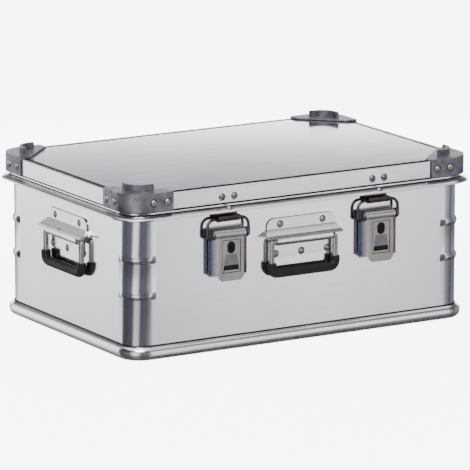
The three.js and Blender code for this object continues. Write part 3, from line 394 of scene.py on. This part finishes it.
def on_wall(side, along, out, height):
    """A seat on a wall, and its facing; along runs towards +X or +Y on every wall."""
    _, (x, y), distance = WALLS[side]
    reach = distance + out
    place = (x * reach + abs(y) * along, y * reach + abs(x) * along, height)
    return [c * MM for c in place], (x, y, 0)


CASTING_RIVETS_FROM_END = (47, 69.5)  # in from the skirt's end
CASTING_RIVET_HEIGHT = 228
CASTING_OUT = 12
CASTING_HEAD = (4.4, 2.3)
CASTING_HEAD_SHADOW = (5.8, 0.5)
casting_seats = [
    on_wall(side, end * (half - from_end), CASTING_OUT, CASTING_RIVET_HEIGHT)
    for end in (-1, 1)
    for from_end in CASTING_RIVETS_FROM_END
    for half, sides in ((RIM_HALF_LENGTH, ("front", "rear")), (RIM_HALF_WIDTH, ("left", "right")))
    for side in sides
]
rivets("casting_rivets", "lid", casting_seats, CASTING_HEAD, "plated_steel")
# Dark discs under the casting rivets: a painted shadow ring round each head
rivets("casting_head_shadows", "lid", casting_seats, CASTING_HEAD_SHADOW, "dark_steel")

# Along the wall and up, for each handle bracket
HANDLE_RIVETS = ((-35.5, 173.5), (35.5, 173.5), (-43, 130.6), (0, 130.6), (43, 130.6))
BRACKET_OUT = 2.3  # outer face of a bracket or a hinge leaf on the wall
LEAF_RIVETS_HALF = 20
LEAF_RIVET_HEIGHTS = (160, 174)
WALL_HEAD = (3.9, 2.1)
WALL_HEAD_SHADOW = (5.3, 0.5)
wall_seats = [
    on_wall(side, along, BRACKET_OUT, height)
    for side in ("front", "left", "right")
    for along, height in HANDLE_RIVETS
]
wall_seats += [
    on_wall("rear", hinge * HINGE_CENTRE + offset, BRACKET_OUT, height)
    for hinge in (-1, 1)
    for offset in (-LEAF_RIVETS_HALF, LEAF_RIVETS_HALF)
    for height in LEAF_RIVET_HEIGHTS
]
rivets("wall_rivets", "case", wall_seats, WALL_HEAD, "plated_steel")
# Dark discs under the wall rivets: a painted shadow ring round each head
rivets("wall_head_shadows", "case", wall_seats, WALL_HEAD_SHADOW, "dark_steel")

FACE_RIVET_HEIGHT = 224.5
CATCH_RIVETS_HALF = 10
LEAF_HEAD = (4.2, 2.1)
CATCH_HEAD_SHADOW = (5.5, 0.5)


def face_seats(side, centre, half):
    """Seats in pairs on the lid frame's face, round the two places at centre."""
    return [
        on_wall(side, end * centre + offset, FACE_OUT, FACE_RIVET_HEIGHT)
        for end in (-1, 1)
        for offset in (-half, half)
    ]


leaf_seats = face_seats("rear", HINGE_CENTRE, LEAF_RIVETS_HALF)
catch_seats = face_seats("front", LATCH_CENTRE, CATCH_RIVETS_HALF)
rivets("hinge_rivets", "lid", leaf_seats, LEAF_HEAD, "rivet_steel")
# Dark discs under the catch rivets: a painted shadow ring round each head
rivets("catch_head_shadows", "lid", catch_seats, CATCH_HEAD_SHADOW, "dark_steel")


# ---- Sealant laid along the lid panel's edges, between the castings, raised at the front and the left as a painted shadow line in the gap ----
def bar(name, low, high, bevel):
    """A black bead of sealant on the lid, as a box between two corners."""
    x, y, z = zip(low, high)
    corners = [(x[i], y[j], z[k]) for i in (0, 1) for j in (0, 1) for k in (0, 1)]
    faces = [(0, 1, 3, 2), (4, 6, 7, 5), (0, 4, 5, 1), (2, 3, 7, 6), (0, 2, 6, 4), (1, 5, 7, 3)]
    soften(solid(name, corners, faces, "lid", "black_rubber"), bevel)


SEALANT_FOOT = 239.12
GAP_SHADOW_TOP = 240.7  # taller at the front and the left, where it is the painted shadow line of the gap
SEALANT_TOP = 239.6
SEALANT_OUT = (0.9, 3.4)
SEALANT_HALF_LENGTH = 214
SEALANT_HALF_WIDTH = 122
SEALANT_BEVEL = 0.4
for side, sign, top in (("front", -1, GAP_SHADOW_TOP), ("rear", 1, SEALANT_TOP)):
    near, far = sorted(sign * (HALF_WIDTH + out) for out in SEALANT_OUT)
    bar("sealant_and_gap_shadow_" + side, (-SEALANT_HALF_LENGTH, near, SEALANT_FOOT),
        (SEALANT_HALF_LENGTH, far, top), SEALANT_BEVEL)
for side, sign, top in (("left", -1, GAP_SHADOW_TOP), ("right", 1, SEALANT_TOP)):
    near, far = sorted(sign * (HALF_LENGTH + out) for out in SEALANT_OUT)
    bar("sealant_and_gap_shadow_" + side, (near, -SEALANT_HALF_WIDTH, SEALANT_FOOT),
        (far, SEALANT_HALF_WIDTH, top), SEALANT_BEVEL)

CORNER_STEPS = 12
SHADOW_BAND_BEVEL = 0.2


def shadow_band_round_walls(name, outs, heights, body):
    """A black band carried round the walls as a painted groove shadow, its section between two
    outs and two heights.
    """
    centre_x, centre_y = HALF_LENGTH - WALL_RADIUS, HALF_WIDTH - WALL_RADIUS
    (out_low, out_high), (low, high) = outs, heights
    section = ((out_low, low), (out_high, low), (out_high, high), (out_low, high))
    points = []
    for sign_x, sign_y, start in ((1, 1, 0), (-1, 1, 90), (-1, -1, 180), (1, -1, 270)):
        for step in range(CORNER_STEPS + 1):
            angle = math.radians(start + 90 * step / CORNER_STEPS)
            for out, height in section:
                reach = WALL_RADIUS + out
                points.append((sign_x * centre_x + reach * math.cos(angle),
                               sign_y * centre_y + reach * math.sin(angle), height))
    sides = len(section)
    count = len(points) // sides
    faces = []
    for here in range(count):
        beyond = (here + 1) % count
        for side in range(sides):
            up = (side + 1) % sides
            faces.append((here * sides + side, beyond * sides + side,
                          beyond * sides + up, here * sides + up))
    soften(solid(name, points, faces, body, "black_rubber"), SHADOW_BAND_BEVEL)


# Painted shadow: black bands in the gap above the base and in the groove under the lid frame
shadow_band_round_walls("base_gap_shadow", (0.05, 1.4), (19.2, 20.7), "case")
shadow_band_round_walls("skirt_groove_shadow", (5.9, 7.1), (213.0, 215.0), "lid")


# ---- Thin plates on a wall: dark sheets as painted shadow outlines, and painted shade in a lever's pressed panel ----
def plate(name, side, centre, outline, outs, body, finish):
    """A plate whose outline is (along the wall, up), between two distances out."""
    along, facing, distance = WALLS[side]
    points = []
    for out in outs:
        for step, height in outline:
            x = along[0] * (centre + step) + facing[0] * (distance + out)
            y = along[1] * (centre + step) + facing[1] * (distance + out)
            points.append((x, y, height))
    solid(name, points, prism_faces(len(outline)), body, finish)


def rectangle(left, foot, right, top):
    return [(left, foot), (right, foot), (right, top), (left, top)]


# Black sheets behind the handle brackets, standing out past their edges as a painted shadow
# outline: straight below the lip, wider and round above it
BRACKET_SHADOW_HALF = 58.1
BRACKET_SHADOW_TOP = 182.6
BRACKET_SHADOW_RADIUS = 12.5
BRACKET_SHADOW_FOOT = (46.6, 124.4)
BRACKET_SHADOW_NECK = (46.6, 160)
BRACKET_SHADOW_LIP = 165
BRACKET_SHADOW_OUTS = (0.04, 0.27)
BRACKET_SHADOW_TURN = 9  # degrees a step
half_bracket_shadow = [BRACKET_SHADOW_FOOT, BRACKET_SHADOW_NECK, (BRACKET_SHADOW_HALF, BRACKET_SHADOW_LIP)]
for step in range(90 // BRACKET_SHADOW_TURN + 1):
    turned = math.radians(BRACKET_SHADOW_TURN * step)
    half_bracket_shadow.append((BRACKET_SHADOW_HALF - BRACKET_SHADOW_RADIUS * (1 - math.cos(turned)),
                         BRACKET_SHADOW_TOP - BRACKET_SHADOW_RADIUS * (1 - math.sin(turned))))
bracket_shadow = half_bracket_shadow + [(-step, height) for step, height in reversed(half_bracket_shadow)]
for side in ("front", "left", "right"):
    plate("handle_bracket_shadow_" + side, side, 0, bracket_shadow, BRACKET_SHADOW_OUTS, "case",
          "black_rubber")

# Black sheets between the castings and the lid, a little larger than the castings' arms and
# plates, as a painted shadow outline
ARM_SHADOW_HEIGHTS = (213.7, 239.3)
ARM_SHADOW_OUTS = (9.02, 9.28)
ARM_SHADOW_STARTS = {"front": 214.6, "rear": 214.6, "left": 122.6, "right": 122.6}
for side, start in ARM_SHADOW_STARTS.items():
    end = (HALF_LENGTH if side in ("front", "rear") else HALF_WIDTH) - WALL_RADIUS
    foot, top = ARM_SHADOW_HEIGHTS
    for place, sign in (("first", -1), ("second", 1)):
        arm = rectangle(sign * start, foot, sign * end, top)
        plate(f"casting_packing_{side}_{place}", side, 0, arm, ARM_SHADOW_OUTS, "lid",
              "black_rubber")

# In from the upright centre line of the case's corner, towards the middle of the lid
LID_SHADOW_OUTLINE = ((33.2, -24), (35.2, -22), (-22, 35.2), (-24, 33.2))
LID_SHADOW_HEIGHTS = (239.03, 239.7)
CORNERS = {
    "front_left": (-1, -1),
    "front_right": (1, -1),
    "rear_right": (1, 1),
    "rear_left": (-1, 1),
}
# Painted shadow outline: a thin black strip along each corner casting's inner edge on the lid
for place, (sign_x, sign_y) in CORNERS.items():
    points = [
        (sign_x * (HALF_LENGTH - WALL_RADIUS - inward_x),
         sign_y * (HALF_WIDTH - WALL_RADIUS - inward_y), height)
        for height in LID_SHADOW_HEIGHTS
        for inward_x, inward_y in LID_SHADOW_OUTLINE
    ]
    solid("lid_shadow_outline_" + place, points, prism_faces(len(LID_SHADOW_OUTLINE)), "lid",
          "black_rubber")

# In each lever's pressed panel, painted shade: a black plate in the slot, a darker plate on the
# tongue over it and dark lines round the panel's edges
PANEL_HALF = 15.4
PANEL_FOOT = 115.6
PANEL_TOP = 163.4
LINE = 1.0
SLOT_OUTLINE = [(-12.3, 119.6), (12.3, 119.6), (11.4, 126.6), (-11.4, 126.6)]
SLOT_OUTS = (16.9, 17.12)
TONGUE_OUTLINE = [(-11.3, 126.9), (11.3, 126.9), (9.0, 142.6), (-9.0, 142.6)]
TONGUE_OUTS = (16.9, 17.1)
RECESS_SHADOW_OUTS = (17.3, 17.44)
RECESS_SHADOW_LINES = {
    "foot": (-PANEL_HALF, PANEL_FOOT, PANEL_HALF, PANEL_FOOT + LINE),
    "top": (-PANEL_HALF, PANEL_TOP - LINE, PANEL_HALF, PANEL_TOP),
    "near": (-PANEL_HALF, PANEL_FOOT + LINE, LINE - PANEL_HALF, PANEL_TOP - LINE),
    "far": (PANEL_HALF - LINE, PANEL_FOOT + LINE, PANEL_HALF, PANEL_TOP - LINE),
}
for side, centre in (("left", -LATCH_CENTRE), ("right", LATCH_CENTRE)):
    body = "latch_" + side
    plate("lever_slot_shadow_" + side, "front", centre, SLOT_OUTLINE, SLOT_OUTS, body,
          "black_plastic")
    plate("lever_tongue_shaded_" + side, "front", centre, TONGUE_OUTLINE, TONGUE_OUTS, body,
          "inner_steel")
    for place, edges in RECESS_SHADOW_LINES.items():
        plate(f"lever_recess_shadow_{place}_{side}", "front", centre, rectangle(*edges), RECESS_SHADOW_OUTS,
              body, "dark_steel")


# ---- Floor ----
FLOOR_HALF = 6  # metres
FLOOR_GLOW = 6
corners = [(x * FLOOR_HALF, y * FLOOR_HALF, 0) for x, y in ((-1, -1), (1, -1), (1, 1), (-1, 1))]
floor_mesh = bpy.data.meshes.new("floor")
floor_mesh.from_pydata(corners, [], [(0, 1, 2, 3)])
floor = bpy.data.objects.new("floor", floor_mesh)
bpy.context.scene.collection.objects.link(floor)
paint = surface("studio_floor_painted", "F7F7F8", "FBFBFB", NOT_METAL, (0.6, 0.7), (4, 4, 4),
                0.01, 400)
floor_mesh.materials.append(paint)
# The floor is a lit white sweep where it is seen; polished metal looks past it into the room.
mirrored = add(paint.node_tree, "ShaderNodeLightPath").outputs["Is Glossy Ray"]
clear = add(paint.node_tree, "ShaderNodeBsdfTransparent").outputs[0]
sweep = paint.node_tree.nodes["Principled BSDF"]
sweep.inputs["Emission Color"].default_value = (1, 1, 1, 1)
sweep.inputs["Emission Strength"].default_value = FLOOR_GLOW
blended = add(paint.node_tree, "ShaderNodeMixShader", {0: mirrored, 1: sweep.outputs[0], 2: clear})
output = paint.node_tree.nodes["Material Output"]
paint.node_tree.links.new(blended.outputs[0], output.inputs["Surface"])

# ---- The studio round the case ----
# Pale walls with dark gaps between them, which polished metal needs to read as metal. Each stop is
# (bearing in degrees anticlockwise from +X, brightness). The room itself isn't seen directly.
STUDIO = (
    (0, 0.3), (40, 0.25), (75, 0.3), (100, 0.8), (116, 1.9), (119, 2.6), (121.5, 2.6), (126, 0.12),
    (150, 0.07), (188, 0.12), (198, 0.2), (206, 1.2), (216, 1.6), (230, 1.3), (238, 0.8),
    (243, 0.1), (262, 0.09), (282, 0.1), (291, 0.3), (297.5, 0.4), (299.4, 0.9), (300.6, 3.6),
    (301.8, 2.8), (303.2, 1.0), (308, 0.5), (334, 0.1), (350, 0.25),
)
STUDIO_BLUE = 0.03  # how much bluer than neutral the walls are
# Each band is (lower height, upper height, brightness up to it, brightness from it on); a height
# is the sine of the elevation.
BELOW_WALLS = (-0.25, -0.2, 0.55, 1.25)
FAR_BELOW = (-0.65, -0.35, 0.2, 1.0)  # dark, so that undersides read
CORNICE = (0.26, 0.5, 1.0, 0.3)  # dimmer again between the walls and the ceiling
CEILING = (0.68, 0.9)
CEILING_TONE = (2.2, 2.2, 2.25, 1)
BACKDROP = 7.5  # matches the lit floor where the room would be seen
world = bpy.data.worlds.new("studio")
world.use_nodes = True
room = world.node_tree
room.nodes.clear()
outward = add(room, "ShaderNodeTexCoord").outputs["Generated"]
east, north, height = add(room, "ShaderNodeSeparateXYZ", {0: outward}).outputs
turn = maths(room, "ARCTAN2", north, east)
share = maths(room, "DIVIDE", turn, 2 * math.pi)
wrapped = maths(room, "MODULO", maths(room, "ADD", share, 1.0), 1.0)
walls = add(room, "ShaderNodeValToRGB", {0: wrapped})
while len(walls.color_ramp.elements) < len(STUDIO):
    walls.color_ramp.elements.new(0.5)
for element, (degrees, level) in zip(walls.color_ramp.elements, STUDIO):
    element.position = degrees / 360
    element.color = (level, level, level + STUDIO_BLUE, 1)
dimmed = ranged(room, height, *BELOW_WALLS)
for band in (FAR_BELOW, CORNICE):
    dimmed = maths(room, "MULTIPLY", dimmed, ranged(room, height, *band))
shaded = add(room, "ShaderNodeVectorMath", {0: walls.outputs[0], "Scale": dimmed},
             operation="SCALE").outputs[0]
roofed = blend(room, ranged(room, height, *CEILING), shaded, CEILING_TONE)
unseen = add(room, "ShaderNodeBackground", {0: roofed, 1: 1.0}).outputs[0]
seen = add(room, "ShaderNodeBackground", {0: (1, 1, 1, 1), 1: BACKDROP}).outputs[0]
direct = add(room, "ShaderNodeLightPath").outputs["Is Camera Ray"]
chosen = add(room, "ShaderNodeMixShader", {0: direct, 1: unseen, 2: seen}).outputs[0]
add(room, "ShaderNodeOutputWorld", {0: chosen})
bpy.context.scene.world = world


# ---- Lights and camera, in metres ----
def aimed(place, aim):
    """The rotation that turns a lamp or a camera at place towards aim."""
    return (Vector(aim) - Vector(place)).to_track_quat("-Z", "Y").to_euler()


def soft_light(name, place, aim, size, watts):
    data = bpy.data.lights.new(name, "AREA")
    data.shape = "RECTANGLE"
    data.size, data.size_y = size
    data.energy = watts
    lamp = bpy.data.objects.new(name, data)
    lamp.location = place
    lamp.rotation_euler = aimed(place, aim)
    bpy.context.scene.collection.objects.link(lamp)


LID_MIDDLE = (0, 0, 0.24)
soft_light("key", (-1.2, -1.8, 2.6), (0, 0, 0.1), (1.8, 1.8), 120)
soft_light("back_low", (0.75, 1.35, 0.335), LID_MIDDLE, (2.6, 0.34), 20)
soft_light("back_high", (0.75, 1.4, 0.62), LID_MIDDLE, (2.6, 0.12), 0.05)

CAMERA_PLACE = (-3.4709, -5.8395, 1.6021)
CAMERA_AIM = (0.001, 0, 0.118)
camera_data = bpy.data.cameras.new("camera")
camera_data.sensor_width = 36
camera_data.lens = 363.5
camera = bpy.data.objects.new("camera", camera_data)
camera.location = CAMERA_PLACE
camera.rotation_euler = aimed(CAMERA_PLACE, CAMERA_AIM)
bpy.context.scene.collection.objects.link(camera)
bpy.context.scene.camera = camera
